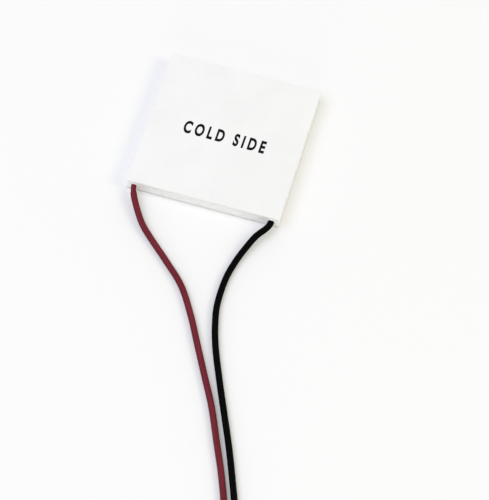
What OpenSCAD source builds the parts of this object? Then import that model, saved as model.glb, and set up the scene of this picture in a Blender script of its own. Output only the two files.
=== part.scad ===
// Thermoelectric cooling module.
//
// Two ceramic plates hold a square field of thermoelectric pellets between
// them.  Copper tabs on the inner faces of the plates join the pellets into one
// serpentine chain, which starts and ends at two tabs in the front corners.  A
// lead is soldered to each of those tabs, and a bead of silicone closes the gap
// between the plates all the way round.
//
// Frame: millimetres, origin in the middle of the hot plate's outer face, +Z
// towards the cold plate, -Y towards the edge where the leads come out.

/* [Plates] */
// Width of both plates, along the edge where the leads come out
plate_w = 40; // [38:0.5:50]
// Depth of both plates, away from that edge
plate_d = 40; // [38:0.5:50]
// Thickness of each ceramic plate
plate_t = 0.75; // [0.6:0.05:1]
// Radius of the plates' corners
corner_r = 0.3; // [0.1:0.05:0.6]

/* [Pellets] */
// Places along each side of the pellet field
places = 16; // [10:2:16]
// Side of a pellet's square section
pellet_w = 1.4; // [1:0.05:1.5]
// Height of a pellet
pellet_h = 1.6; // [1.2:0.05:2]
// Distance from the plate's edge to the middle of the outermost pellets
field_rim = 2; // [2:0.05:2.4]

/* [Tabs and solder] */
// Thickness of the copper tabs
tab_t = 0.3; // [0.2:0.05:0.4]
// How far a tab reaches past its pellets on every side
tab_lap = 0.1; // [0.05:0.01:0.15]
// Cut across the corners of a tab
tab_chamfer = 0.2; // [0.05:0.05:0.4]
// Thickness of the solder between a pellet and its tabs
solder_t = 0.05; // [0.03:0.01:0.1]
// How far the solder spreads past the pellet on every side
solder_spread = 0.05; // [0:0.01:0.05]

/* [Silicone bead] */
// Width of the bead, measured inwards from its outer face
bead_w = 1; // [0.6:0.05:1]
// How far the bead's outer face stands behind the edges of the plates
bead_inset = 0.1; // [0:0.05:0.3]
// Depth of the hollow that the smoothing tool leaves along the bead
bead_dish = 0.1; // [0.05:0.01:0.2]

/* [Leads] */
// Diameter over a lead's insulation
lead_d = 1.65; // [1.3:0.05:1.8]
// Diameter of the tinned strands
strand_d = 0.76; // [0.6:0.02:0.8]
// Gap between a lead's insulation and the cold plate over it
lead_gap = 0.1; // [0.05:0.05:0.3]
// Distance over which a lead comes down to the surface that the module lies on
lead_settle = 16; // [10:1:24]
// Length of the tinned strands inside the module
tail_len = 2.2; // [1.8:0.1:2.3]
// Length of the tinned strands at a lead's far end
tip_len = 5; // [3:0.5:8]

/* [Hidden] */
lead_r = lead_d / 2;
strand_r = strand_d / 2;
lead_sides = 8;
// Longest step between two rings of a lead's tube, about two and a half diameters
ring_step = 4;

pitch_x = (plate_w - 2 * field_rim) / (places - 1);
pitch_y = (plate_d - 2 * field_rim) / (places - 1);
last_place = places * places - 1;

// Heights of the layers, from the hot plate's outer face upwards
hot_tab_z = plate_t;
hot_solder_z = hot_tab_z + tab_t;
pellet_z = hot_solder_z + solder_t;
cold_solder_z = pellet_z + pellet_h;
cold_tab_z = cold_solder_z + solder_t;
cold_plate_z = cold_tab_z + tab_t;
bead_h = cold_plate_z - plate_t;
// Height of a lead's middle where it comes out between the plates
lead_out_z = cold_plate_z - lead_gap - lead_r;

bead_outer_w = plate_w - 2 * bead_inset;
bead_outer_d = plate_d - 2 * bead_inset;
// Radius of the smoothing tool that leaves a hollow of that depth
dish_r = (bead_h * bead_h / 4 + bead_dish * bead_dish) / (2 * bead_dish);

front = -plate_d / 2;
// Where the insulation of a lead ends, flush with the bead's inner face
lead_in_y = front + bead_inset + bead_w;

// Solder joint on a lead tab: width of its foot, cover over the strands, length
joint_foot = pellet_w;
joint_cover = 0.15;
joint_len = 1.6;

// The leads' routes on the surface, measured from the middle of each lead where
// it passes the plates' edge: across the edge, then away from it
red_route = [
    [0, 0], [0.5, -2], [2, -5], [5, -9.5], [8.5, -13], [14, -18], [19.5, -23.5],
    [24, -30.5], [28, -38], [32, -45.5], [36, -53], [40, -62], [43.5, -70],
    [46.5, -78], [48.5, -86], [49.5, -94], [49.5, -102], [49, -110], [48.5, -118],
    [48.5, -126], [48.5, -131]
];
black_route = [
    [0, 0], [-0.5, -2], [-2.5, -5], [-4, -8.5], [-5.5, -13], [-6.5, -18.5],
    [-6.5, -25.5], [-5.5, -31], [-3.5, -37.5], [0, -46], [3.5, -54], [7, -62],
    [10, -69.5], [13, -77.5], [15.5, -86], [17.5, -94.5], [18.5, -103],
    [19, -111.5], [19, -120], [19, -129], [19, -139.5]
];

lead_x = (places - 1) / 2 * pitch_x;

P_NODES = [for (c = [0 : places - 1]) column_name("p", c)];
N_NODES = [for (c = [0 : places - 1]) column_name("n", c)];

function column_name(kind, column) =
    str(kind, "_pellets_column_", column < 9 ? "0" : "", column + 1);

// ---- The circuit -----------------------------------------------------------
// Places are numbered along the serpentine, up one column and down the next.
// The first and the last place hold no pellet: the leads are soldered there.

function place_column(i) = floor(i / places);
function place_row(i) = place_column(i) % 2 == 0 ? i % places : places - 1 - i % places;
function place_at(i) = [
    (place_column(i) - (places - 1) / 2) * pitch_x,
    (place_row(i) - (places - 1) / 2) * pitch_y
];
function is_pellet(i) = i > 0 && i < last_place;
// Odd places hold n-type pellets and even places p-type ones, so that current
// from the red lead carries heat away from the cold plate in all of them
function is_n_type(i) = i % 2 == 1;

module pellet(i) {
    translate(concat(place_at(i), pellet_z))
        translate([-pellet_w / 2, -pellet_w / 2, 0])
            cube([pellet_w, pellet_w, pellet_h]);
}

module pellets_of_column(column, n_type) {
    for (i = [column * places : (column + 1) * places - 1])
        if (is_pellet(i) && is_n_type(i) == n_type)
            pellet(i);
}

// A copper tab with clipped corners, its length along X, standing on z = 0
module tab_blank(length, width) {
    x = length / 2;
    y = width / 2;
    c = tab_chamfer;
    linear_extrude(tab_t)
        polygon([
            [-x + c, -y], [x - c, -y], [x, -y + c], [x, y - c],
            [x - c, y], [-x + c, y], [-x, y - c], [-x, -y + c]
        ]);
}

// The tab that joins place i to the next one, on the plate face at height z
module tab(i, z) {
    from = place_at(i);
    to = place_at(i + 1);
    width = pellet_w + 2 * tab_lap;
    turned = place_column(i) == place_column(i + 1) ? 90 : 0;
    translate(concat((from + to) / 2, z))
        rotate([0, 0, turned])
            tab_blank(norm(to - from) + width, width);
}

module solder_film(z) {
    w = pellet_w + 2 * solder_spread;
    for (i = [1 : last_place - 1])
        translate(concat(place_at(i), z))
            translate([-w / 2, -w / 2, 0])
                cube([w, w, solder_t]);
}

// ---- Plates and bead -------------------------------------------------------

// A rectangle with round corners, centred
module round_rect(width, depth, radius) {
    square([width, depth - 2 * radius], center = true);
    square([width - 2 * radius, depth], center = true);
    for (x = [-1, 1], y = [-1, 1])
        translate([x * (width / 2 - radius), y * (depth / 2 - radius)])
            circle(radius, $fn = 32);
}

module ceramic_plate(z) {
    translate([0, 0, z])
        linear_extrude(plate_t)
            round_rect(plate_w, plate_d, corner_r);
}

module hot_plate() {
    color("whitesmoke") ceramic_plate(0);
}

module cold_plate() {
    color("whitesmoke") ceramic_plate(cold_plate_z);
}

// The hollow along two opposite sides, across X by default
module bead_hollows(half_width, length) {
    for (side = [-1, 1])
        translate([side * (half_width - bead_dish + dish_r), 0, plate_t + bead_h / 2])
            rotate([90, 0, 0])
                cylinder(h = length, r = dish_r, center = true, $fn = 96);
}

// The hole that a lead fills on its way through the front of the bead
module lead_hole(x) {
    translate([x, lead_in_y + 0.5, lead_out_z])
        rotate([90, 0, 0])
            rotate([0, 0, 180 / lead_sides])
                cylinder(h = bead_w + 1, r = lead_r, $fn = lead_sides);
}

module silicone_bead() {
    color("white")
        difference() {
            translate([0, 0, plate_t])
                linear_extrude(bead_h)
                    difference() {
                        round_rect(bead_outer_w, bead_outer_d, corner_r);
                        square([bead_outer_w - 2 * bead_w, bead_outer_d - 2 * bead_w], center = true);
                    }
            bead_hollows(bead_outer_w / 2, plate_d + 1);
            rotate([0, 0, 90]) bead_hollows(bead_outer_d / 2, plate_w + 1);
            lead_hole(-lead_x);
            lead_hole(lead_x);
        }
}

// ---- Tabs and solder -------------------------------------------------------

module hot_tabs() {
    color("peru") for (i = [2 : 2 : last_place - 3]) tab(i, hot_tab_z);
}

module cold_tabs() {
    color("peru") for (i = [1 : 2 : last_place - 2]) tab(i, cold_tab_z);
}

module red_lead_tab() {
    color("peru") tab(0, hot_tab_z);
}

module black_lead_tab() {
    color("peru") tab(last_place - 1, hot_tab_z);
}

module hot_solder() {
    color("silver") solder_film(hot_solder_z);
}

module cold_solder() {
    color("silver") solder_film(cold_solder_z);
}

// A solder joint: it rises from its foot on the tab in two hollow flanks and
// closes over the strands that lie in it
module solder_joint(x) {
    rise = lead_out_z - hot_solder_z;
    neck = strand_r + joint_cover;
    foot = joint_foot / 2;
    flank = [for (a = [0 : 15 : 90])
        [foot - (foot - neck) * sin(a), rise * (1 - cos(a))]];
    crown = [for (a = [15 : 15 : 165]) [neck * cos(a), rise + neck * sin(a)]];
    mirrored = [for (k = [len(flank) - 1 : -1 : 0]) [-flank[k].x, flank[k].y]];
    color("silver")
        difference() {
            translate([x, lead_in_y + tail_len - 0.2, hot_solder_z])
                rotate([90, 0, 0])
                    linear_extrude(joint_len)
                        polygon(concat(flank, crown, mirrored));
            strands(x, lead_in_y, tail_len);
        }
}

module red_solder_joint() {
    solder_joint(-lead_x);
}

module black_solder_joint() {
    solder_joint(lead_x);
}

// ---- Pellets ---------------------------------------------------------------

module p_pellets(column) {
    color("dimgray") pellets_of_column(column, false);
}

module n_pellets(column) {
    color("slategray") pellets_of_column(column, true);
}

// ---- Leads -----------------------------------------------------------------

// A length of tinned strands along +Y from y, at the height where leads come out
module strands(x, y, length) {
    translate([x, y, lead_out_z])
        rotate([-90, 0, 0])
            cylinder(h = length, r = strand_r, $fn = 32);
}

module red_strand_tail() {
    color("gainsboro") strands(-lead_x, lead_in_y, tail_len);
}

module black_strand_tail() {
    color("gainsboro") strands(lead_x, lead_in_y, tail_len);
}

// Height of a lead's middle: it comes down smoothly from between the plates and
// then lies on the surface
function fall(t) = t * t * (3 - 2 * t);
function lead_height(y) =
    lead_out_z + (lead_r - lead_out_z) * fall(min(1, -y / lead_settle));

function route_points(x, route) =
    [for (p = route) [x + p.x, front + p.y, lead_height(p.y)]];

// The points with one more at each end, placed so that the curve starts and
// ends square to the plates' edge
function with_ends(p) = concat(
    [[p[1].x, 2 * p[0].y - p[1].y, p[1].z]],
    p,
    [[p[len(p) - 2].x, 2 * p[len(p) - 1].y - p[len(p) - 2].y, p[len(p) - 1].z]]
);

// A smooth curve from b to c, with a before them and d after them
function curve(a, b, c, d, t) = 0.5 * (
    2 * b + (c - a) * t
    + (2 * a - 5 * b + 4 * c - d) * t * t
    + (3 * b - a - 3 * c + d) * t * t * t
);

function smooth_route(p) = concat(
    [for (i = [1 : len(p) - 3])
        let (steps = max(1, round(norm(p[i + 1] - p[i]) / ring_step)))
            for (k = [0 : steps - 1])
                curve(p[i - 1], p[i], p[i + 1], p[i + 2], k / steps)],
    [p[len(p) - 2]]
);

function unit(v) = v / norm(v);

// A ring of the tube round centre c, square to direction d, with a flat below
function ring(c, d) =
    let (side = unit(cross(d, [0, 0, 1])), up = cross(side, d))
        [for (k = [0 : lead_sides - 1])
            let (a = (k + 0.5) * 360 / lead_sides)
                c + lead_r * (cos(a) * side + sin(a) * up)];

// A tube along the centres c, with a flat cap at each end
module tube(c) {
    n = len(c);
    s = lead_sides;
    away = [0, -1, 0];
    points = [for (i = [0 : n - 1])
        each ring(c[i], i < 2 || i == n - 1 ? away : unit(c[i + 1] - c[i - 1]))];
    walls = [for (i = [0 : n - 2], k = [0 : s - 1])
        let (a = i * s + k, b = i * s + (k + 1) % s)
            each [[a, a + s, b], [b, a + s, b + s]]];
    start = [for (k = [0 : s - 1]) k];
    end = [for (k = [s - 1 : -1 : 0]) (n - 1) * s + k];
    polyhedron(points, concat(walls, [start], [end]));
}

module lead(x, route) {
    tube(concat(
        [[x, lead_in_y, lead_out_z]],
        smooth_route(with_ends(route_points(x, route)))
    ));
}

module red_lead() {
    color("firebrick") lead(-lead_x, red_route);
}

module black_lead() {
    color("black") lead(lead_x, black_route);
}

// The stripped end of a lead, in line with its last stretch
module strand_tip(x, route) {
    end = route[len(route) - 1];
    translate([x + end.x, front + end.y, lead_r])
        rotate([90, 0, 0])
            cylinder(h = tip_len, r = strand_r, $fn = 32);
}

module red_strand_tip() {
    color("gainsboro") strand_tip(-lead_x, red_route);
}

module black_strand_tip() {
    color("gainsboro") strand_tip(lead_x, black_route);
}

// ---- Parts -----------------------------------------------------------------

hot_plate();
cold_plate();
silicone_bead();
hot_tabs();
cold_tabs();
red_lead_tab();
black_lead_tab();
hot_solder();
cold_solder();
red_solder_joint();
black_solder_joint();
red_strand_tail();
black_strand_tail();
red_lead();
black_lead();
red_strand_tip();
black_strand_tip();
for (c = [0 : places - 1]) {
    p_pellets(c);
    n_pellets(c);
}
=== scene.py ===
"""A thermoelectric cooling module, dressed for the studio.

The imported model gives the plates, the bead, the tabs, the pellets and the leads their
places.  This script gives them their finish, makes the ceramic plates, the silicone
bead, the print and the leads as detailed meshes, and sets up the studio.

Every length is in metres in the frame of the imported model: +Z points from the hot
plate to the cold plate, and the leads come out of the edge that faces -Y.
"""

from __future__ import annotations

import logging
import math
from dataclasses import dataclass, field
from enum import Enum
from typing import Mapping, NamedTuple, Sequence, Union

import bmesh
import bpy
from mathutils import Euler, Matrix, Vector, noise


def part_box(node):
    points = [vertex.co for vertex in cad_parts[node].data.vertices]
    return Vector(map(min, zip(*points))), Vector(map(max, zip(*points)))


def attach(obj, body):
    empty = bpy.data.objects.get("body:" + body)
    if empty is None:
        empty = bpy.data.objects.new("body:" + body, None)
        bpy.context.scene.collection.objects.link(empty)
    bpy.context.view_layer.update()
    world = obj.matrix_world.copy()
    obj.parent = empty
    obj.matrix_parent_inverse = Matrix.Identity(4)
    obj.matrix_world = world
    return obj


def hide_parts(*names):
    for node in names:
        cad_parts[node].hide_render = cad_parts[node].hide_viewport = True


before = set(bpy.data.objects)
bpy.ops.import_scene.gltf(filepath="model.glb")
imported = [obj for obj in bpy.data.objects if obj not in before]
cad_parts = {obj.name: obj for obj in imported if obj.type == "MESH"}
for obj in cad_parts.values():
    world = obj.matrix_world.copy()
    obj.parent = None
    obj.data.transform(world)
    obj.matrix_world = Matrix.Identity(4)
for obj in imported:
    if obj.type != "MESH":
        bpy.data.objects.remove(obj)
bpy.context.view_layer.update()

log = logging.getLogger("module")

Colour = tuple[float, float, float]
Range = tuple[float, float]

MM = 0.001
ROOT = "root"
WHITE: Colour = (1.0, 1.0, 1.0)

# The leads' radius over the insulation and over the bare strands, and the way that
# they take from the plates' edge down to the table
LEAD_RADIUS = 0.825 * MM
STRAND_RADIUS = 0.38 * MM
SETTLE = 16 * MM


# ---------------------------------------------------------------------------
# Node trees
# ---------------------------------------------------------------------------

Source = Union[
    float, int, bool, str, Sequence[float], "Number", bpy.types.NodeSocket, bpy.types.Node
]

# A Mix node's sockets for colours, which share their names with its other ones
MIX_FACTOR, MIX_LOW, MIX_HIGH, MIX_RESULT = 0, 6, 7, 2


class Graph:
    """Adds nodes to one node tree, of a material, the world or Geometry Nodes."""

    def __init__(self, tree: bpy.types.NodeTree) -> None:
        """Starts on a tree.

        Args:
            tree: The tree that takes the nodes.
        """
        self.tree = tree

    @classmethod
    def cleared(cls, owner: bpy.types.Material | bpy.types.World) -> Graph:
        """Empties the tree of a material or a world.

        Args:
            owner: The material or the world.

        Returns:
            A graph on its empty tree.
        """
        owner.use_nodes = True
        owner.node_tree.nodes.clear()
        return cls(owner.node_tree)

    def node(
        self,
        kind: str,
        settings: Mapping[str, object] | None = None,
        inputs: Mapping[object, Source] | None = None,
    ) -> bpy.types.Node:
        """Adds one node.

        Args:
            kind: The node's type.
            settings: The node's properties, set before its sockets.
            inputs: Values or links, by the socket's name or number.

        Returns:
            The node.
        """
        node = self.tree.nodes.new(kind)
        for name, value in (settings or {}).items():
            setattr(node, name, value)
        for key, value in (inputs or {}).items():
            self.feed(node.inputs[key], value)
        return node

    def feed(self, socket: bpy.types.NodeSocket, value: Source) -> None:
        """Links or sets one input.

        Args:
            socket: The input.
            value: A socket, a node for its first output, a number wrapper or a value.
        """
        if isinstance(value, Number):
            value = value.socket
        if isinstance(value, bpy.types.Node):
            value = value.outputs[0]
        if isinstance(value, bpy.types.NodeSocket):
            self.tree.links.new(value, socket)
        else:
            socket.default_value = value

    def number(self, socket: bpy.types.NodeSocket) -> Number:
        """Wraps an output, so that Python's operators work on it."""
        return Number(self, socket)

    def mix_shader(self, share: Source, low: Source, high: Source) -> bpy.types.Node:
        """Mixes two shaders.

        Args:
            share: The high one's share, from 0 to 1.
            low: The shader at a share of 0.
            high: The shader at a share of 1.

        Returns:
            The node.
        """
        return self.node("ShaderNodeMixShader", inputs={0: share, 1: low, 2: high})


class Number:
    """A number on a socket.  Each operator adds a Math node."""

    def __init__(self, graph: Graph, socket: bpy.types.NodeSocket) -> None:
        """Wraps a socket.

        Args:
            graph: The graph that takes the Math nodes.
            socket: The output that holds the number.
        """
        self.graph = graph
        self.socket = socket

    def maths(self, operation: str, *values: Source) -> Number:
        """Adds a Math node.

        Args:
            operation: What the node does.
            values: What it does that to.

        Returns:
            The node's result.
        """
        inputs = dict(enumerate(values))
        node = self.graph.node("ShaderNodeMath", {"operation": operation}, inputs)
        return Number(self.graph, node.outputs[0])

    def __add__(self, other: Source) -> Number:
        """Adds."""
        return self.maths("ADD", self, other)

    __radd__ = __add__

    def __sub__(self, other: Source) -> Number:
        """Subtracts."""
        return self.maths("SUBTRACT", self, other)

    def __rsub__(self, other: Source) -> Number:
        """Subtracts from a plain value."""
        return self.maths("SUBTRACT", other, self)

    def __mul__(self, other: Source) -> Number:
        """Multiplies."""
        return self.maths("MULTIPLY", self, other)

    __rmul__ = __mul__

    def __truediv__(self, other: Source) -> Number:
        """Divides."""
        return self.maths("DIVIDE", self, other)

    def above(self, limit: Source) -> Number:
        """1 where the number is over the limit, 0 elsewhere."""
        return self.maths("GREATER_THAN", self, limit)

    def larger(self, other: Source) -> Number:
        """The larger of the two."""
        return self.maths("MAXIMUM", self, other)

    def ramp(self, low: float, high: float) -> Number:
        """A smooth rise.

        Args:
            low: Where it leaves 0.
            high: Where it reaches 1.

        Returns:
            0 below low, 1 above high, and the rise between them.
        """
        settings = {"interpolation_type": "SMOOTHSTEP"}
        inputs = {"Value": self, "From Min": low, "From Max": high}
        node = self.graph.node("ShaderNodeMapRange", settings, inputs)
        return Number(self.graph, node.outputs[0])


# ---------------------------------------------------------------------------
# Finishes
# ---------------------------------------------------------------------------

# The names of the meshes' own attributes that finishes read
EDGE, BURN_AND_SHADE, ALONG, RIM = "edge", "burn_and_shade", "along", "rim"

# How far apart a Wave node's bands lie at a scale of 1
WAVE_PERIOD = 0.3


def opaque(colour: Colour) -> tuple[float, float, float, float]:
    """The colour with an alpha of 1."""
    return (*colour, 1.0)


class Surface:
    """What a finish writes its nodes with: a shader, coordinates, noise and mixes."""

    def __init__(self, material: bpy.types.Material) -> None:
        """Empties a material's tree and gives it a Principled shader.

        Args:
            material: The material to write.
        """
        self.graph = Graph.cleared(material)
        self.shader = self.graph.node("ShaderNodeBsdfPrincipled")
        self.graph.node("ShaderNodeOutputMaterial", inputs={"Surface": self.shader})
        self.place = self.graph.node("ShaderNodeTexCoord").outputs["Object"]

    def set(self, **values: Source) -> None:
        """Sets the shader's sockets.

        Args:
            values: Values or links, by the socket's name in lower case with underscores.
        """
        sockets = {
            socket.name.lower().replace(" ", "_"): socket for socket in self.shader.inputs
        }
        for name, value in values.items():
            self.graph.feed(sockets[name], value)

    def noise(self, size: float, detail: float, vector: Source | None = None) -> Number:
        """Soft noise.

        Args:
            size: The size of its patches.
            detail: How many finer layers it has.
            vector: Where it is read, in metres, or the place on the object.

        Returns:
            A number around 0.5.
        """
        inputs = {"Vector": vector or self.place, "Scale": 1 / size, "Detail": detail}
        node = self.graph.node("ShaderNodeTexNoise", inputs=inputs)
        return self.graph.number(node.outputs["Fac"])

    def cells(self, size: float) -> Number:
        """Cells of uneven shape.

        Args:
            size: The mean distance between their middles.

        Returns:
            How far the nearest middle is, as a share of that distance.
        """
        inputs = {"Vector": self.place, "Scale": 1 / size}
        node = self.graph.node("ShaderNodeTexVoronoi", inputs=inputs)
        return self.graph.number(node.outputs["Distance"])

    def spots(self, gap: float, radius: float, core: float) -> Number:
        """Small round spots.

        Args:
            gap: The mean distance between spots.
            radius: A spot's radius, as a share of that distance.
            core: How much of the radius is full strength.

        Returns:
            1 in a spot and 0 around it.
        """
        return 1 - self.cells(gap).ramp(core * radius, radius)

    def mask(self, name: str) -> Number:
        """One of the mesh's own attributes, as a number."""
        return self.graph.number(self.attribute(name).outputs["Fac"])

    def attribute(self, name: str) -> bpy.types.Node:
        """The node that reads one of the mesh's own attributes."""
        return self.graph.node("ShaderNodeAttribute", {"attribute_name": name})

    def mix(self, mask: Source, low: Source, high: Source) -> bpy.types.NodeSocket:
        """Mixes two colours.

        Args:
            mask: The high one's share, from 0 to 1.
            low: The colour at a mask of 0, plain or linked.
            high: The colour at a mask of 1, plain or linked.

        Returns:
            The mixed colour.
        """
        ends = [opaque(end) if isinstance(end, tuple) else end for end in (low, high)]
        inputs = {MIX_FACTOR: mask, MIX_LOW: ends[0], MIX_HIGH: ends[1]}
        node = self.graph.node("ShaderNodeMix", {"data_type": "RGBA"}, inputs)
        return node.outputs[MIX_RESULT]

    def bump(self, height: Source, distance: float) -> None:
        """Bumps the surface.

        Args:
            height: The height, from 0 to 1.
            distance: How high 1 is.
        """
        inputs = {"Height": height, "Distance": distance}
        node = self.graph.node("ShaderNodeBump", inputs=inputs)
        self.graph.feed(self.shader.inputs["Normal"], node.outputs["Normal"])


@dataclass(frozen=True)
class Finish:
    """A procedural material, made once and shared by the pieces that have it."""

    name: str

    def material(self) -> bpy.types.Material:
        """The finish's material, written the first time that it is asked for.

        Returns:
            The material.
        """
        title = f"{self.name}_finish"
        found = bpy.data.materials.get(title)
        if found:
            return found
        material = bpy.data.materials.new(title)
        self.write(Surface(material))
        return material

    def write(self, surface: Surface) -> None:
        """Writes the nodes.  Each finish has its own.

        Args:
            surface: What to write with.
        """
        raise NotImplementedError


@dataclass(frozen=True)
class Alumina(Finish):
    """Sintered white ceramic: a fine grain, faint clouds and a few grey specks."""

    pale: Colour = (0.915, 0.915, 0.91)
    dull: Colour = (0.885, 0.885, 0.88)
    speck: Colour = (0.55, 0.54, 0.52)
    # The snapped wall's colour and the burnt band's colour at the scribed face are partly painted
    # shade: they darken the hot plate's edge where it meets the table
    snapped_and_shaded: Colour = (0.78, 0.775, 0.765)
    burnt_and_shaded: Colour = (0.34, 0.33, 0.31)
    roughness: float = 0.5
    gloss: float = 0.4
    cloud_size: float = 7 * MM
    cloud_range: Range = (0.3, 0.75)
    grain_size: float = 0.12 * MM
    grain_roughness: float = 0.22
    grain_height: float = 0.006 * MM
    speck_gap: float = 2.6 * MM
    speck_radius: float = 0.035
    speck_core: float = 0.6
    speck_strength: float = 0.6
    speck_grain: float = 0.42

    def write(self, surface: Surface) -> None:
        """Writes clouds, the snapped edge and the burnt band, both partly painted shade, specks and
        grain.

        Args:
            surface: What to write with.
        """
        cloud = surface.noise(self.cloud_size, detail=3)
        grain = surface.noise(self.grain_size, detail=2)
        body = surface.mix(cloud.ramp(*self.cloud_range), self.pale, self.dull)
        # Partly painted shade: the snapped wall and the burnt band at the scribed face are darkened
        body = surface.mix(surface.mask(EDGE), body, self.snapped_and_shaded)
        body = surface.mix(surface.mask(BURN_AND_SHADE), body, self.burnt_and_shaded)
        specks = surface.spots(self.speck_gap, self.speck_radius, self.speck_core)
        specks = specks * grain.above(self.speck_grain)
        surface.set(
            base_color=surface.mix(specks * self.speck_strength, body, self.speck),
            roughness=self.roughness + self.grain_roughness * grain,
            specular_ior_level=self.gloss,
        )
        surface.bump(grain, self.grain_height)


@dataclass(frozen=True)
class Silicone(Finish):
    """White silicone rubber, tooled flush: soft, slightly glossy and uneven."""

    pale: Colour = (0.92, 0.92, 0.905)
    dull: Colour = (0.88, 0.88, 0.865)
    roughness: float = 0.34
    gloss: float = 0.45
    milkiness: float = 0.15
    milk_depth: float = 0.4 * MM
    ripple_size: float = 1.4 * MM
    ripple_range: Range = (0.35, 0.7)
    ripple_roughness: float = 0.2
    pore_size: float = 0.25 * MM
    pore_share: float = 0.25
    relief: float = 0.03 * MM

    def write(self, surface: Surface) -> None:
        """Writes ripples and pores.

        Args:
            surface: What to write with.
        """
        ripple = surface.noise(self.ripple_size, detail=3)
        pore = surface.noise(self.pore_size, detail=1)
        surface.set(
            base_color=surface.mix(ripple.ramp(*self.ripple_range), self.pale, self.dull),
            roughness=self.roughness + self.ripple_roughness * ripple,
            specular_ior_level=self.gloss,
            subsurface_weight=self.milkiness,
            subsurface_scale=self.milk_depth,
        )
        surface.bump(ripple + self.pore_share * pore, self.relief)


@dataclass(frozen=True)
class Insulation(Finish):
    """Flexible plastic drawn over the strands, with faint marks along its length."""

    colour: Colour
    # worn is the colour of the drawing marks and also of the painted highlight along the lead's
    # upper side
    worn: Colour
    roughness: float
    gloss: float
    mark_length: float = 6 * MM
    mark_width: float = 0.35 * MM
    mark_range: Range = (0.35, 0.75)
    mark_roughness: float = 0.08
    mark_share: float = 0.6
    skin_size: float = 0.15 * MM
    skin_roughness: float = 0.15
    # Where the painted highlight fades out down the lead's sides, as a share of the radius
    highlight_range: Range = (-1.0, -0.2)
    relief: float = 0.012 * MM

    def write(self, surface: Surface) -> None:
        """Writes the drawing marks, a painted highlight that makes the lead's upper side paler, and
        a fine skin.

        Args:
            surface: What to write with.
        """
        graph = surface.graph
        rim = surface.attribute(RIM).outputs["Vector"]
        split = graph.node("ShaderNodeSeparateXYZ", inputs={"Vector": rim})
        across, down = split.outputs["X"], split.outputs["Y"]
        along = surface.mask(ALONG) * (self.mark_width / self.mark_length)
        stretched = graph.node("ShaderNodeCombineXYZ", inputs={"X": along, "Y": across, "Z": down})
        marks = surface.noise(self.mark_width, detail=2, vector=stretched)
        skin = surface.noise(self.skin_size, detail=2)
        # Painted highlight: the lead's upper side is painted paler and its sides are left darker
        painted_highlight = 1 - (graph.number(down) / LEAD_RADIUS).ramp(*self.highlight_range)
        marks_and_highlight = (marks.ramp(*self.mark_range) + painted_highlight) / 2
        surface.set(
            base_color=surface.mix(marks_and_highlight, self.colour, self.worn),
            roughness=self.roughness + self.skin_roughness * skin + self.mark_roughness * marks,
            specular_ior_level=self.gloss,
        )
        surface.bump(marks * self.mark_share + skin * (1 - self.mark_share), self.relief)


@dataclass(frozen=True)
class Metal(Finish):
    """A metal with a fine mottle and a little unevenness in its polish."""

    bright: Colour
    dark: Colour
    roughness: float
    patch_size: float
    relief: float = 0.01 * MM
    patch_range: Range = (0.3, 0.7)
    patch_roughness: float = 0.2
    fineness: float = 0.2

    def write(self, surface: Surface) -> None:
        """Writes the mottle.

        Args:
            surface: What to write with.
        """
        patches = surface.noise(self.patch_size, detail=3)
        fine = surface.noise(self.patch_size * self.fineness, detail=2)
        surface.set(
            base_color=surface.mix(patches.ramp(*self.patch_range), self.bright, self.dark),
            roughness=self.roughness + self.patch_roughness * patches,
            metallic=1.0,
        )
        surface.bump((patches + fine) / 2, self.relief)


@dataclass(frozen=True)
class SawnCrystal(Finish):
    """Bismuth telluride as sawn from the ingot: dark, metallic, with saw lines."""

    bright: Colour
    dark: Colour
    roughness: float = 0.38
    metallic: float = 0.85
    facet_size: float = 0.5 * MM
    facet_range: Range = (0.1, 0.7)
    line_pitch: float = 0.06 * MM
    line_wander: float = 1.5
    line_roughness: float = 0.15
    line_depth: float = 0.004 * MM

    def write(self, surface: Surface) -> None:
        """Writes facets of the crystal under level saw lines.

        Args:
            surface: What to write with.
        """
        lines = surface.graph.node("ShaderNodeTexWave", {"bands_direction": "Z"}, {
            "Vector": surface.place,
            "Scale": WAVE_PERIOD / self.line_pitch,
            "Distortion": self.line_wander,
        })
        line = surface.graph.number(lines.outputs["Fac"])
        facets = surface.cells(self.facet_size).ramp(*self.facet_range)
        surface.set(
            base_color=surface.mix(facets, self.dark, self.bright),
            roughness=self.roughness + self.line_roughness * line,
            metallic=self.metallic,
        )
        surface.bump(line, self.line_depth)


@dataclass(frozen=True)
class Ink(Finish):
    """Black marking ink, laid on thinly enough for the ceramic's grain to show."""

    colour: Colour = (0.004, 0.004, 0.005)
    thin: Colour = (0.02, 0.02, 0.022)
    roughness: float = 0.55
    gloss: float = 0.08
    grain_size: float = 0.12 * MM
    grain_range: Range = (0.55, 0.8)
    grain_roughness: float = 0.15
    grain_height: float = 0.004 * MM

    def write(self, surface: Surface) -> None:
        """Writes the thin places.

        Args:
            surface: What to write with.
        """
        grain = surface.noise(self.grain_size, detail=2)
        surface.set(
            base_color=surface.mix(grain.ramp(*self.grain_range), self.colour, self.thin),
            roughness=self.roughness + self.grain_roughness * grain,
            specular_ior_level=self.gloss,
        )
        surface.bump(grain, self.grain_height)


ALUMINA = Alumina("alumina")
SILICONE = Silicone("silicone")
INK = Ink("ink")
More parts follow.
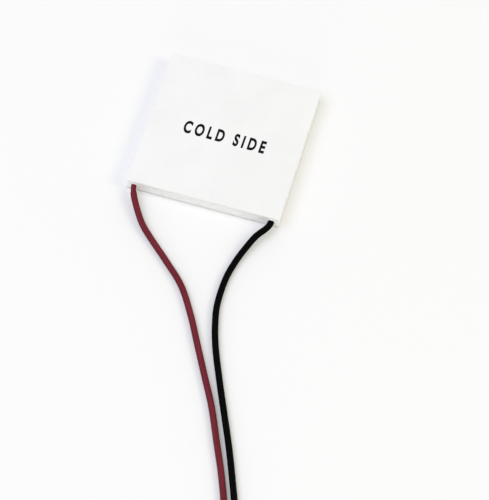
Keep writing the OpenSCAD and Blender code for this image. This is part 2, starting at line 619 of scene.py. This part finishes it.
# Each lead's worn colour is that of its drawing marks and of its painted highlight
RED_INSULATION = Insulation(
    "red_insulation", colour=(0.085, 0.006, 0.013), worn=(0.2, 0.024, 0.036),
    roughness=0.34, gloss=0.08,
)
BLACK_INSULATION = Insulation(
    "black_insulation", colour=(0.001, 0.001, 0.0012), worn=(0.002, 0.002, 0.0023),
    roughness=0.45, gloss=0.025,
)
TINNED = Metal("tinned_copper", (0.78, 0.78, 0.76), (0.62, 0.62, 0.6), 0.26, 0.3 * MM)
SOLDER = Metal("solder", (0.74, 0.75, 0.76), (0.55, 0.56, 0.57), 0.22, 0.5 * MM, 0.02 * MM)
COPPER = Metal("copper_tab", (0.86, 0.46, 0.32), (0.66, 0.32, 0.2), 0.34, 0.8 * MM)
P_TYPE = SawnCrystal("p_type_telluride", bright=(0.3, 0.3, 0.33), dark=(0.18, 0.18, 0.2))
N_TYPE = SawnCrystal("n_type_telluride", bright=(0.38, 0.39, 0.43), dark=(0.25, 0.26, 0.29))


# ---------------------------------------------------------------------------
# Meshes
# ---------------------------------------------------------------------------


def placed(name: str, data: bpy.types.ID) -> bpy.types.Object:
    """Puts data in the scene.

    Args:
        name: The object's name.
        data: The mesh, curve, text, lamp or camera that it holds.

    Returns:
        The new object.
    """
    thing = bpy.data.objects.new(name, data)
    bpy.context.scene.collection.objects.link(thing)
    return thing


def evaluated_mesh(source: bpy.types.Object) -> bpy.types.Mesh:
    """Turns an object into a plain mesh.

    Args:
        source: A text, or an object with a live modifier.

    Returns:
        The mesh that it makes.
    """
    bpy.context.view_layer.update()
    evaluated = source.evaluated_get(bpy.context.evaluated_depsgraph_get())
    return bpy.data.meshes.new_from_object(evaluated)


def new_piece(
    name: str,
    mesh: bpy.types.Mesh,
    finish: Finish | None = None,
) -> bpy.types.Object:
    """Links a mesh as a piece that rides on the module.

    Args:
        name: The piece's name.
        mesh: Its mesh, in the frame's own place.
        finish: Its material, or None where the mesh has it already.

    Returns:
        The piece's object.
    """
    mesh.name = name
    if finish:
        mesh.materials.clear()
        mesh.materials.append(finish.material())
    piece = placed(name, mesh)
    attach(piece, ROOT)
    log.info("%s: %d faces", name, len(mesh.polygons))
    return piece


def turn_outwards(mesh: bpy.types.Mesh, merge: float | None = None) -> None:
    """Turns a closed mesh's faces outwards.

    Args:
        mesh: The mesh.
        merge: How near two points are made one first, or None to leave all.
    """
    shaped = bmesh.new()
    shaped.from_mesh(mesh)
    if merge:
        bmesh.ops.remove_doubles(shaped, verts=shaped.verts, dist=merge)
    bmesh.ops.recalc_face_normals(shaped, faces=shaped.faces)
    shaped.to_mesh(mesh)
    shaped.free()


def shade_smooth(mesh: bpy.types.Mesh, sharp: float) -> None:
    """Shades a mesh smooth, apart from the edges that turn by more than an angle."""
    mesh.shade_smooth()
    mesh.set_sharp_from_angle(angle=sharp)


def grid_mesh(name: str, rings: Sequence[Sequence[Vector]], capped: bool) -> bpy.types.Mesh:
    """A mesh of closed rings, each joined to the next.

    Args:
        name: The mesh's name.
        rings: Rings of equally many points.
        capped: Whether a face closes the first ring and another the last.

    Returns:
        The mesh, with its faces pointing outwards.
    """
    count = len(rings[0])
    faces = []
    for ring in range(len(rings) - 1):
        for k in range(count):
            a, b = ring * count + k, ring * count + (k + 1) % count
            faces.append((a, b, b + count, a + count))
    if capped:
        faces.append(tuple(reversed(range(count))))
        faces.append(tuple((len(rings) - 1) * count + k for k in range(count)))
    mesh = bpy.data.meshes.new(name)
    mesh.from_pydata([point for ring in rings for point in ring], [], faces)
    mesh.validate()
    turn_outwards(mesh)
    return mesh


def direction(degrees: float) -> Vector:
    """The level direction at an angle from +X towards +Y."""
    return Vector((math.cos(math.radians(degrees)), math.sin(math.radians(degrees)), 0))


class Station(NamedTuple):
    """A point on an outline, its outward direction and the way walked to it."""

    place: Vector
    out: Vector
    walked: float


@dataclass(frozen=True)
class Outline:
    """A rectangle with round corners, centred, walked at even steps."""

    half_width: float
    half_depth: float
    corner: float
    least_arc_steps: int = 3

    def walk(self, step: float) -> list[Station]:
        """Walks round the outline.

        Args:
            step: The distance between two points on a straight side.

        Returns:
            The stations, from the front end of the right side.
        """
        x, y = self.half_width - self.corner, self.half_depth - self.corner
        sides = (
            ((x, -y, 0), 0.0, 2 * y),
            ((x, y, 0), 90.0, 2 * x),
            ((-x, y, 0), 180.0, 2 * y),
            ((-x, -y, 0), 270.0, 2 * x),
        )
        arc = self.corner * math.pi / 2
        arc_steps = max(self.least_arc_steps, round(arc / step))
        walked, stations = 0.0, []
        for start, angle, length in sides:
            centre, out = Vector(start), direction(angle)
            way = Vector((-out.y, out.x, 0))
            count = max(1, round(length / step))
            for k in range(count):
                place = centre + out * self.corner + way * (length * k / count)
                stations.append(Station(place, out, walked))
                walked += length / count
            centre = centre + way * length
            for k in range(arc_steps):
                out = direction(angle + 90 * k / arc_steps)
                stations.append(Station(centre + out * self.corner, out, walked))
                walked += arc / arc_steps
        return stations


# ---------------------------------------------------------------------------
# The camera and the studio
# ---------------------------------------------------------------------------


@dataclass(frozen=True)
class Camera:
    """The camera that looks down on the module and its leads."""

    azimuth: float = math.radians(12.58)
    elevation: float = math.radians(60.57)
    roll: float = math.radians(4.0)
    distance: float = 650.3 * MM
    target: tuple[float, float, float] = (13.6 * MM, -28.68 * MM, 0.0)
    lens: float = 187.2
    clip: Range = (0.01, 20.0)

    def build(self) -> None:
        """Makes it the scene's camera."""
        data = bpy.data.cameras.new("camera")
        data.lens = self.lens
        data.clip_start, data.clip_end = self.clip
        back = Vector((
            math.sin(self.azimuth) * math.cos(self.elevation),
            -math.cos(self.azimuth) * math.cos(self.elevation),
            math.sin(self.elevation),
        ))
        level = Vector((0, 0, 1)).cross(back).normalized()
        up = back.cross(level)
        right = level * math.cos(self.roll) + up * math.sin(self.roll)
        top = up * math.cos(self.roll) - level * math.sin(self.roll)
        turned = Matrix((right, top, back)).transposed().to_4x4()
        place = Vector(self.target) + back * self.distance
        camera = placed("camera", data)
        camera.matrix_world = Matrix.Translation(place) @ turned
        bpy.context.scene.camera = camera


@dataclass(frozen=True)
class Softbox:
    """A rectangular lamp that points at the module."""

    name: str
    place: tuple[float, float, float]
    size: tuple[float, float]
    power: float
    colour: Colour

    def build(self) -> None:
        """Adds the lamp."""
        data = bpy.data.lights.new(self.name, "AREA")
        data.shape = "RECTANGLE"
        data.size, data.size_y = self.size
        data.energy = self.power
        data.color = self.colour
        lamp = placed(self.name, data)
        lamp.location = self.place
        lamp.rotation_mode = "QUATERNION"
        lamp.rotation_quaternion = Vector(self.place).to_track_quat("Z", "Y")


@dataclass(frozen=True)
class Studio:
    """A white table under three softboxes, in a pale room.

    The table shows its own colour with the module's shadow on it, and over that a share
    of plain white.
    """

    table_size: float = 12.0
    table_colour: float = 0.945
    table_white: float = 0.12
    sky: float = 0.66
    sky_colour: Colour = (0.98, 1.0, 0.965)
    lamps: tuple[Softbox, ...] = (
        Softbox("left_lamp", (-0.72, -0.25, 1.14), (1.3, 0.85), 7.6, (0.78, 0.785, 1.0)),
        Softbox("right_lamp", (0.95, 0.03, 0.81), (0.42, 0.42), 3.3, (1.0, 0.88, 0.63)),
        Softbox("front_lamp", (0.2, -1.15, 0.22), (0.4, 0.4), 1.45, (0.98, 1.0, 0.8)),
    )

    def build(self) -> None:
        """Adds the room, the table and the lamps."""
        self._room()
        self._table()
        for lamp in self.lamps:
            lamp.build()

    @staticmethod
    def _seen(graph: Graph) -> Number:
        """Tells the rays that show the background from those that light the module.

        Args:
            graph: The graph of the room or of the table.

        Returns:
            1 on a ray to the eye, in gloss or through glass, 0 on the others.
        """
        path = graph.node("ShaderNodeLightPath")
        eye, gloss, clear = (
            graph.number(path.outputs[f"Is {kind} Ray"])
            for kind in ("Camera", "Glossy", "Transmission")
        )
        return eye.larger(gloss).larger(clear)

    def _room(self) -> None:
        """Lights the module from all round, and shows white."""
        world = bpy.data.worlds.new("room")
        bpy.context.scene.world = world
        graph = Graph.cleared(world)
        light = graph.node(
            "ShaderNodeBackground", inputs={"Color": opaque(self.sky_colour), "Strength": self.sky}
        )
        white = graph.node(
            "ShaderNodeBackground", inputs={"Color": opaque(WHITE), "Strength": 1.0}
        )
        both = graph.mix_shader(self._seen(graph), light, white)
        graph.node("ShaderNodeOutputWorld", inputs={"Surface": both})

    def _table(self) -> None:
        """Adds the table, which also shows its share of white."""
        half = self.table_size / 2
        corners = [(-half, -half, 0), (half, -half, 0), (half, half, 0), (-half, half, 0)]
        mesh = bpy.data.meshes.new("table")
        mesh.from_pydata(corners, [], [(0, 1, 2, 3)])
        material = bpy.data.materials.new("table")
        graph = Graph.cleared(material)
        matt = graph.node(
            "ShaderNodeBsdfDiffuse", inputs={"Color": opaque((self.table_colour,) * 3)}
        )
        white = graph.node(
            "ShaderNodeEmission", inputs={"Color": opaque(WHITE), "Strength": 1.0}
        )
        both = graph.mix_shader(self._seen(graph) * self.table_white, matt, white)
        graph.node("ShaderNodeOutputMaterial", inputs={"Surface": both})
        mesh.materials.append(material)
        placed("table", mesh)


# ---------------------------------------------------------------------------
# The leads
# ---------------------------------------------------------------------------

# The routes on the table, in millimetres from where each lead passes the plates' edge:
# along X, then along Y, which falls as the lead goes away from the plates
RED_ROUTE = (
    (0, 0), (0.5, -2), (2, -5), (5, -9.5), (8.5, -13), (14, -18), (19.5, -23.5),
    (24, -30.5), (28, -38), (32, -45.5), (36, -53), (40, -62), (43.5, -70),
    (46.5, -78), (48.5, -86), (49.5, -94), (49.5, -102), (49, -110), (48.5, -118),
    (48.5, -126), (48.5, -131),
)
BLACK_ROUTE = (
    (0, 0), (-0.5, -2), (-2.5, -5), (-4, -8.5), (-5.5, -13), (-6.5, -18.5),
    (-6.5, -25.5), (-5.5, -31), (-3.5, -37.5), (0, -46), (3.5, -54), (7, -62),
    (10, -69.5), (13, -77.5), (15.5, -86), (17.5, -94.5), (18.5, -103),
    (19, -111.5), (19, -120), (19, -129), (19, -139.5),
)


def smooth(share: float) -> float:
    """A smooth rise from 0 to 1 as the share goes from 0 to 1."""
    share = min(1.0, max(0.0, share))
    return share * share * (3 - 2 * share)


class GeometryTree:
    """A Geometry Nodes tree with named inputs, which turns one object into a mesh."""

    def __init__(self, name: str, sizes: Mapping[str, float | int]) -> None:
        """Starts a tree.

        Args:
            name: The tree's name.
            sizes: The inputs' names and values, besides the geometry and the material.
        """
        self.tree = bpy.data.node_groups.new(name, "GeometryNodeTree")
        self.graph = Graph(self.tree)
        self.sizes = sizes
        self._socket("Geometry", "Geometry")
        for title, value in sizes.items():
            self._socket(title, "Int" if isinstance(value, int) else "Float")
        self._socket("Material", "Material")
        self._socket("Geometry", "Geometry", way="OUTPUT")
        self.given = self.graph.node("NodeGroupInput")

    def _socket(self, title: str, kind: str, way: str = "INPUT") -> None:
        """Gives the tree an input, or an output where the way says so."""
        self.tree.interface.new_socket(title, in_out=way, socket_type=f"NodeSocket{kind}")

    def size(self, title: str) -> Number:
        """One of the inputs, as a number."""
        return self.graph.number(self.given.outputs[title])

    def step(
        self,
        kind: str,
        settings: Mapping[str, object] | None = None,
        **inputs: Source,
    ) -> bpy.types.NodeSocket:
        """Adds a node.

        Args:
            kind: The node's type.
            settings: The node's properties.
            inputs: Values or links, by the socket's name in lower case with underscores.

        Returns:
            The node's first output.
        """
        named = {name.replace("_", " ").title(): value for name, value in inputs.items()}
        return self.graph.node(kind, settings, named).outputs[0]

    def store(self, geometry: Source, name: str, kind: str, value: Source) -> bpy.types.NodeSocket:
        """Stores a value on each point, for a finish to read.

        Args:
            geometry: What has the points.
            name: The attribute's name.
            kind: The attribute's type.
            value: The value.

        Returns:
            The geometry with it.
        """
        settings = {"data_type": kind, "domain": "POINT"}
        inputs = {"geometry": geometry, "name": name, "value": value}
        return self.step("GeometryNodeStoreNamedAttribute", settings, **inputs)

    def ring(self, sides: Source, radius: Source) -> bpy.types.NodeSocket:
        """The round that a tube is drawn with."""
        return self.step("GeometryNodeCurvePrimitiveCircle", resolution=sides, radius=radius)

    def tube(self, line: Source, ring: Source, scale: Source = 1.0) -> bpy.types.NodeSocket:
        """A closed tube.

        Args:
            line: The curves that it follows.
            ring: Its round.
            scale: The share of the round's size that it has along the way.

        Returns:
            The mesh.
        """
        inputs = {"curve": line, "profile_curve": ring, "scale": scale, "fill_caps": True}
        return self.step("GeometryNodeCurveToMesh", **inputs)

    def end(self, geometry: Source) -> None:
        """Closes the tree: smooth and real meshes, with their material.

        Args:
            geometry: What the tree has made.
        """
        shaded = self.step("GeometryNodeSetShadeSmooth", geometry=geometry)
        real = self.step("GeometryNodeRealizeInstances", geometry=shaded)
        material = self.given.outputs["Material"]
        dressed = self.step("GeometryNodeSetMaterial", geometry=real, material=material)
        self.graph.node("NodeGroupOutput", inputs={"Geometry": dressed})

    def make(self, name: str, source: bpy.types.Object, finish: Finish) -> bpy.types.Mesh:
        """Runs the tree on an object and removes the object.

        Args:
            name: The mesh's name.
            source: The object that the tree starts from.
            finish: The material that the tree sets.

        Returns:
            The plain mesh.
        """
        modifier = source.modifiers.new(self.tree.name, "NODES")
        modifier.node_group = self.tree
        values = {**self.sizes, "Material": finish.material()}
        for item in self.tree.interface.items_tree:
            if item.in_out == "INPUT" and item.name in values:
                modifier[item.identifier] = values[item.name]
        mesh = evaluated_mesh(source)
        mesh.name = name
        source.modifiers.remove(modifier)
        bpy.data.objects.remove(source)
        return mesh


@dataclass(frozen=True)
class Sheath:
    """The insulation of a lead, drawn along its middle line."""

    radius: float = LEAD_RADIUS
    sides: int = 24
    waviness: float = 0.02 * MM
    wave_size: float = 3 * MM

    def tree(self) -> GeometryTree:
        """The tree that draws the insulation.

        Returns:
            The tree, for a curve whose points hold their share of the full width.
        """
        sizes = {"Radius": self.radius, "Sides": self.sides, "Waviness": self.waviness}
        tree = GeometryTree("insulation", sizes)
        given = tree.given.outputs
        here = tree.step("GeometryNodeInputPosition")
        walked = tree.graph.node("GeometryNodeSplineParameter").outputs["Length"]
        line = tree.step("GeometryNodeSetCurveNormal", {"mode": "Z_UP"}, curve=given["Geometry"])
        line = tree.store(line, ALONG, "FLOAT", walked)
        ring = tree.ring(given["Sides"], given["Radius"])
        ring = tree.store(ring, RIM, "FLOAT_VECTOR", here)
        tube = tree.tube(line, ring, scale=tree.step("GeometryNodeInputRadius"))
        waves = tree.step("ShaderNodeTexNoise", vector=here, scale=1 / self.wave_size, detail=2.0)
        shift = tree.graph.node("ShaderNodeVectorMath", {"operation": "SCALE"}, {
            "Vector": tree.step("GeometryNodeInputNormal"),
            "Scale": (tree.graph.number(waves) - 0.5) * tree.size("Waviness"),
        })
        tree.end(tree.step("GeometryNodeSetPosition", geometry=tube, offset=shift))
        return tree


@dataclass(frozen=True)
class Strands:
    """The bare end of a lead: a tinned strand in the middle and six twisted round it."""

    radius: float = STRAND_RADIUS / 3
    around: int = 6
    spread: float = 1.9
    length: float = 5 * MM
    overlap: float = 1 * MM
    twist: float = math.radians(200)
    steps: int = 40
    sides: int = 10

    def tree(self) -> GeometryTree:
        """The tree that lays the strands upright and twists them.

        Returns:
            The tree, whose result starts at the origin.
        """
        length = self.length + self.overlap
        tree = GeometryTree(
            "strands", {"Strand": self.radius, "Length": length, "Twist": self.twist}
        )
        ring = tree.step(
            "GeometryNodeMeshCircle", vertices=self.around, radius=tree.size("Strand") * self.spread
        )
        places = tree.graph.node("GeometryNodeJoinGeometry")
        for points in (
            tree.step("GeometryNodeMeshToPoints", mesh=ring),
            tree.step("GeometryNodePoints"),
        ):
            tree.graph.feed(places.inputs[0], points)
        end = tree.step("ShaderNodeCombineXYZ", z=tree.size("Length"))
        line = tree.step("GeometryNodeCurvePrimitiveLine", end=end)
        line = tree.step("GeometryNodeResampleCurve", curve=line, count=self.steps)
        bundle = tree.step("GeometryNodeInstanceOnPoints", points=places, instance=line)
        bundle = tree.step("GeometryNodeRealizeInstances", geometry=bundle)
        here = tree.step("GeometryNodeInputPosition")
        split = tree.graph.node("ShaderNodeSeparateXYZ", inputs={"Vector": here})
        height = tree.graph.number(split.outputs["Z"])
        turned = tree.step(
            "ShaderNodeVectorRotate", {"rotation_type": "Z_AXIS"},
            vector=here, angle=height * tree.size("Twist") / tree.size("Length"),
        )
        bundle = tree.step("GeometryNodeSetPosition", geometry=bundle, position=turned)
        tree.end(tree.tube(bundle, tree.ring(self.sides, tree.size("Strand"))))
        return tree

    def mesh(self, end: Vector) -> bpy.types.Mesh:
        """Makes the strands, laid along -Y.

        Args:
            end: The middle of the insulation's end.

        Returns:
            The mesh, in its place, with its material.
        """
        empty = placed("strands", bpy.data.meshes.new("strands"))
        mesh = self.tree().make("strands", empty, TINNED)
        laid = Euler((math.pi / 2, 0, 0)).to_matrix().to_4x4()
        mesh.transform(Matrix.Translation(end + Vector((0, self.overlap, 0))) @ laid)
        return mesh


def curve_through(run: Sequence[Vector], step: float) -> list[Vector]:
    """Draws a Catmull-Rom curve through a row of points.

    Args:
        run: The points.  The first and the last only set the direction at the ends.
        step: The distance between two points of the result.

    Returns:
        Points along the curve.
    """
    line = []
    for a, b, c, d in zip(run, run[1:], run[2:], run[3:]):
        count = max(2, round((c - b).length / step))
        for k in range(count):
            t = k / count
            line.append(0.5 * (
                2 * b + (c - a) * t
                + (2 * a - 5 * b + 4 * c - d) * t * t
                + (3 * b - a - 3 * c + d) * t * t * t
            ))
    line.append(run[-2].copy())
    return line


@dataclass
class Lead:
    """An insulated lead that lies on the table, with tinned strands at its end.

    The neck is the share of its full width that it has where it leaves the bead.
    """

    name: str
    route: tuple[tuple[float, float], ...]
    finish: Finish
    slot: str
    neck: float = 1.0
    neck_length: float = 3 * MM
    neck_slope: float = 0.3 * MM
    end_narrowing: float = 0.1
    end_round: float = 0.15 * MM
    step: float = 0.4 * MM
    sheath: Sheath = Sheath()
    strands: Strands = Strands()
    front: float = field(init=False)
    middle: Vector = field(init=False)

    def __post_init__(self) -> None:
        """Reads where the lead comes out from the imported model."""
        low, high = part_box(f"{self.name}_strand_tail")
        self.middle = Vector(((low[0] + high[0]) / 2, low[1], (low[2] + high[2]) / 2))
        self.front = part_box("cold_plate")[0][1]

    def points(self) -> list[Vector]:
        """The route's points.

        Returns:
            The points, each at the height at which the lead lies there.
        """
        places = []
        for across, away in self.route:
            drop = smooth(-away * MM / SETTLE)
            height = self.middle.z + (LEAD_RADIUS - self.middle.z) * drop
            places.append(Vector((self.middle.x + across * MM, self.front + away * MM, height)))
        return places

    def line(self) -> list[Vector]:
        """The lead's smooth middle line.

        Returns:
            Points from inside the bead to the end of the insulation.
        """
        points = self.points()
        first, last = points[0], points[-1]
        before = Vector((points[1].x, 2 * first.y - points[1].y, points[1].z))
        after = Vector((points[-2].x, 2 * last.y - points[-2].y, last.z))
        return [self.middle.copy(), *curve_through([before, *points, after], self.step)]

    def width(self, walked: float, left: float) -> float:
        """How wide the insulation is, as a share of its full width.

        Args:
            walked: The way from its inner end.
            left: The way to its far end.

        Returns:
            The share.
        """
        near_end = smooth(min(walked, left) / self.end_round)
        past_neck = smooth((walked - self.neck_length) / self.neck_slope)
        edge = 1 - self.end_narrowing + self.end_narrowing * near_end
        return edge * (self.neck + (1 - self.neck) * past_neck)

    def curve(self, line: Sequence[Vector], steps: Sequence[float]) -> bpy.types.Object:
        """A curve along the middle line, whose points hold the insulation's width.

        Args:
            line: The middle line's points.
            steps: The distance from each point to the next.

        Returns:
            The curve's object.
        """
        data = bpy.data.curves.new(self.name, "CURVE")
        data.dimensions = "3D"
        spline = data.splines.new("POLY")
        spline.points.add(len(line) - 1)
        walked, length = 0.0, sum(steps)
        for point, place, step in zip(spline.points, line, [*steps, 0.0]):
            point.co = (*place, 1.0)
            point.radius = self.width(walked, length - walked)
            walked += step
        return placed(self.name, data)

    def build(self) -> None:
        line = self.line()
        steps = [(b - a).length for a, b in zip(line, line[1:])]
        mesh = self.sheath.tree().make(self.name, self.curve(line, steps), self.finish)
        lead = new_piece(f"{self.name}_insulation", mesh)
        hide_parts(f"{self.name}_lead")
        tip = new_piece(f"{self.name}_strands", self.strands.mesh(line[-1]))
        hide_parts(f"{self.name}_strand_tip")


# ---------------------------------------------------------------------------
# Plates, print and bead
# ---------------------------------------------------------------------------


@dataclass(frozen=True)
class CeramicPlate:
    """A ceramic plate, snapped along a laser-scribed line of pits at its lower face."""

    node: str
    # How much the burnt band and the snapped wall are darkened: partly real burn and snapped
    # ceramic, partly painted shade where the plate meets the table
    burn_and_shade: float
    snapped_and_shaded_share: float
    seed: float = 0.0
    step: float = 0.1 * MM
    corner: float = 0.3 * MM
    sharp: float = math.radians(35)

    # The edge, from the scribed part to the worn arris of the other face
    scribe_share: float = 0.35
    scribe_inset: float = 0.04 * MM
    scribe_rings: int = 3
    wall_rings: int = 9
    wall_top: float = 0.96
    edge_wear: float = 0.03 * MM

    # The laser's pits in the scribed part, and how far up it the burnt band reaches, which is
    # partly a painted contact shadow
    pit_pitch: float = 0.3 * MM
    pit_depth: float = 0.04 * MM
    burn_and_shade_reach: float = 0.8

    # The snapped wall: its unevenness, and how tall the wall counts for it
    break_depth: float = 0.025 * MM
    break_size: float = 1.6 * MM
    break_mean: float = 0.3
    break_stretch: float = 2 * MM

    # The chips along the scribed face: the noise at which one starts, how far past it
    # one is at its full depth, and how far up the edge they reach
    chip_depth: float = 0.12 * MM
    chip_size: float = 0.7 * MM
    chip_limit: float = 0.45
    chip_range: float = 0.3
    chip_reach: float = 0.3

    def levels(self) -> list[tuple[float, float]]:
        """The rings up the snapped edge.

        Returns:
            For each ring its share of the way from the scribed face to the other face,
            and how far it stands in there before wear and pits.
        """
        scribe = [self.scribe_share * k / self.scribe_rings for k in range(self.scribe_rings)]
        last, rise = self.wall_rings - 1, self.wall_top - self.scribe_share
        wall = [self.scribe_share + rise * k / last for k in range(self.wall_rings)]
        rings = [(share, self.scribe_inset * (1 - share / self.scribe_share)) for share in scribe]
        return [*rings, *((share, 0.0) for share in wall), (1.0, self.edge_wear)]

    def worn(self, place: Vector, walked: float, share: float) -> float:
        """How far the edge stands in at a point, by its pits, its break and its chips.

        Args:
            place: The point on the outline.
            walked: The way along the outline to it.
            share: Its share of the way from the scribed face to the other face.

        Returns:
            A distance, never negative, so that the plate keeps its size.
        """
        depth = 0.0
        if share < self.scribe_share:
            phase = math.cos(2 * math.pi * walked / self.pit_pitch)
            depth += self.pit_depth * (0.5 + 0.5 * phase) * (1 - share / self.scribe_share)
        at = Vector((place.x, place.y, share * self.break_stretch + self.seed))
        depth += self.break_depth * max(0.0, self.break_mean + noise.noise(at / self.break_size))
        spot = Vector((place.x, place.y, self.seed)) / self.chip_size
        chip = max(0.0, noise.noise(spot) - self.chip_limit)
        reach = max(0.0, 1 - share / self.chip_reach)
        return depth + self.chip_depth * chip / self.chip_range * reach

    def mark(self, mesh: bpy.types.Mesh, count: int) -> None:
        """Stores where the edge is snapped and where it is burnt, both partly painted shade, for
        the ceramic to read.

        Args:
            mesh: The plate's mesh.
            count: How many points each of its rings has.
        """
        levels = self.levels()
        last, burnt_and_shaded = len(levels) - 1, self.burn_and_shade_reach * self.scribe_share
        masks = {
            EDGE: [self.snapped_and_shaded_share * float(0 < ring < last) for ring in range(len(levels))],
            BURN_AND_SHADE: [self.burn_and_shade * float(share < burnt_and_shaded) for share, _ in levels],
        }
        for name, values in masks.items():
            attribute = mesh.attributes.new(name, "FLOAT", "POINT")
            spread = [values[k // count] for k in range(len(mesh.vertices))]
            attribute.data.foreach_set("value", spread)

    def build(self) -> None:
        """Makes the plate in its node's place."""
        low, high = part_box(self.node)
        walk = Outline(high[0], high[1], self.corner).walk(self.step)
        rings = []
        for share, inset in self.levels():
            lift = Vector((0, 0, low[2] + (high[2] - low[2]) * share))
            rings.append([
                place - out * (inset + self.worn(place, walked, share)) + lift
                for place, out, walked in walk
            ])
        mesh = grid_mesh(self.node, rings, capped=True)
        self.mark(mesh, len(walk))
        shade_smooth(mesh, self.sharp)
        plate = new_piece(f"{self.node}_ceramic", mesh, ALUMINA)
        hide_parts(self.node)


class Words(Enum):
    """What is printed on the module."""

    COLD = "COLD SIDE"


@dataclass(frozen=True)
class Print:
    """Plain capitals printed in the middle of the cold plate."""

    words: Words = Words.COLD
    width: float = 21.6 * MM
    height: float = 3.85 * MM
    thickness: float = 0.008 * MM
    middle: tuple[float, float] = (0.1 * MM, -0.5 * MM)
    turn: float = math.radians(-0.6)

    # The font's own measures, before the words are brought to size
    spacing: float = 1.55
    boldness: float = 0.042
    depth: float = 0.5
    curve_steps: int = 6

    def letters(self) -> bpy.types.Mesh:
        """The words as a solid mesh.

        Returns:
            The mesh, at the font's own size and place.
        """
        data = bpy.data.curves.new("print", "FONT")
        data.body = self.words.value
        data.space_character = self.spacing
        data.offset = self.boldness
        data.extrude = self.depth
        data.resolution_u = self.curve_steps
        text = placed("print", data)
        mesh = evaluated_mesh(text)
        bpy.data.objects.remove(text)
        return mesh

    def build(self) -> None:
        """Makes the print a thin layer on the plate's face."""
        mesh = self.letters()
        lows = [min(v.co[axis] for v in mesh.vertices) for axis in range(3)]
        highs = [max(v.co[axis] for v in mesh.vertices) for axis in range(3)]
        sizes = (self.width, self.height, self.thickness)
        scale = Matrix.Diagonal([*(s / (b - a) for s, a, b in zip(sizes, lows, highs)), 1.0])
        centre = Matrix.Translation([-(a + b) / 2 for a, b in zip(lows, highs)])
        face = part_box("cold_plate")[1][2]
        place = Matrix.Translation((*self.middle, face)) @ Matrix.Rotation(self.turn, 4, "Z")
        mesh.transform(place @ scale @ centre)
        new_piece("cold_side_print", mesh, INK)


@dataclass(frozen=True)
class Bead:
    """The silicone between the plates, tooled flush and drawn up round the leads.

    The lumps are the size and the share of each layer of its unevenness.  A point faces
    the leads where its outward direction has at most the front's value on Y.
    """

    leads: Sequence[Lead]
    node: str = "silicone_bead"
    step: float = 0.2 * MM
    levels: int = 20
    corner: float = 0.3 * MM
    wall: float = 1 * MM
    dish: float = 0.1 * MM
    wander: float = 0.06 * MM
    lumps: tuple[tuple[float, float], ...] = ((1.5 * MM, 0.7), (0.5 * MM, 0.3))
    collar: float = 0.28 * MM
    collar_reach: float = 0.45 * MM
    front: float = -0.5
    merge: float = 0.0001 * MM
    sharp: float = math.radians(50)

    def build(self) -> None:
        """Makes the bead between the two plates."""
        low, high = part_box(self.node)
        walk = Outline(high[0], high[1], self.corner).walk(self.step)
        rings = []
        for level in range(self.levels + 1):
            share = level / self.levels
            z = low[2] + (high[2] - low[2]) * share
            hollow = self.dish * (1 - (2 * share - 1) ** 2)
            rings.append([self.face_point(place, out, z, hollow) for place, out, _ in walk])
        inside = self.inner_line(walk)
        for z in (high[2], low[2]):
            rings.append([point + Vector((0, 0, z)) for point in inside])
        rings.append(rings[0])
        mesh = grid_mesh(self.node, rings, capped=False)
        turn_outwards(mesh, self.merge)
        shade_smooth(mesh, self.sharp)
        bead = new_piece("silicone_seal", mesh, SILICONE)
        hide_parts(self.node)

    def inner_line(self, walk: Sequence[Station]) -> list[Vector]:
        """The outline of the bead's inner wall.

        Args:
            walk: The outer outline.

        Returns:
            The inner point for each of the outer ones.
        """
        limit_x = max(place.x for place, _, _ in walk) - self.wall
        limit_y = max(place.y for place, _, _ in walk) - self.wall
        return [
            Vector((
                min(limit_x, max(-limit_x, place.x - out.x * self.wall)),
                min(limit_y, max(-limit_y, place.y - out.y * self.wall)),
                0,
            ))
            for place, out, _ in walk
        ]

    def face_point(self, place: Vector, out: Vector, z: float, hollow: float) -> Vector:
        """A point on the bead's outer face.

        Args:
            place: The point on the outline.
            out: The outward direction there.
            z: Its height.
            hollow: How deep the tooled hollow is at that height.

        Returns:
            The point, uneven, and drawn out where a lead passes.
        """
        at = Vector((place.x, place.y, z))
        uneven = sum(noise.noise(at / size) * share for size, share in self.lumps)
        push = -hollow + self.wander * uneven
        passing = self.leads if out.y <= self.front else ()
        for lead in passing:
            apart = math.hypot(at.x - lead.middle.x, at.z - lead.middle.z) - LEAD_RADIUS
            push += self.collar * math.exp(-((max(0.0, apart) / self.collar_reach) ** 2))
        return at + out * push


# ---------------------------------------------------------------------------
# The module
# ---------------------------------------------------------------------------


@dataclass(frozen=True)
class Inside:
    """The sealed pieces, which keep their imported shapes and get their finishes.

    Each finish stands behind a word that only its nodes' names hold.
    """

    finishes: tuple[tuple[str, Finish], ...] = (
        ("tab", COPPER),
        ("solder", SOLDER),
        ("strand_tail", TINNED),
        ("p_pellets", P_TYPE),
        ("n_pellets", N_TYPE),
    )

    def build(self) -> None:
        """Dresses the nodes."""
        dressed = 0
        for name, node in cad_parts.items():
            for word, finish in self.finishes:
                if word in name:
                    for slot in node.material_slots:
                        slot.material = finish.material()
                    dressed += 1
        log.info("sealed pieces dressed: %d", dressed)


def main() -> None:
    """Builds the studio and the module."""
    logging.basicConfig(level=logging.INFO, format="%(message)s")
    Camera().build()
    leads = (
        Lead("red", RED_ROUTE, RED_INSULATION, "red_insulation", neck=0.82),
        Lead("black", BLACK_ROUTE, BLACK_INSULATION, "black_insulation"),
    )
    for lead in leads:
        lead.build()
    Studio().build()
    # The hot plate's edge is darkened more than the cold plate's: partly burn and snapped ceramic,
    # partly painted shade where it meets the table
    CeramicPlate("hot_plate", burn_and_shade=0.8, snapped_and_shaded_share=0.6, seed=3.0).build()
    CeramicPlate("cold_plate", burn_and_shade=0.1, snapped_and_shaded_share=0.0).build()
    Bead(leads).build()
    Print().build()
    Inside().build()
    bpy.context.scene.view_settings.view_transform = "Standard"


if __name__ == "__main__":
    main()
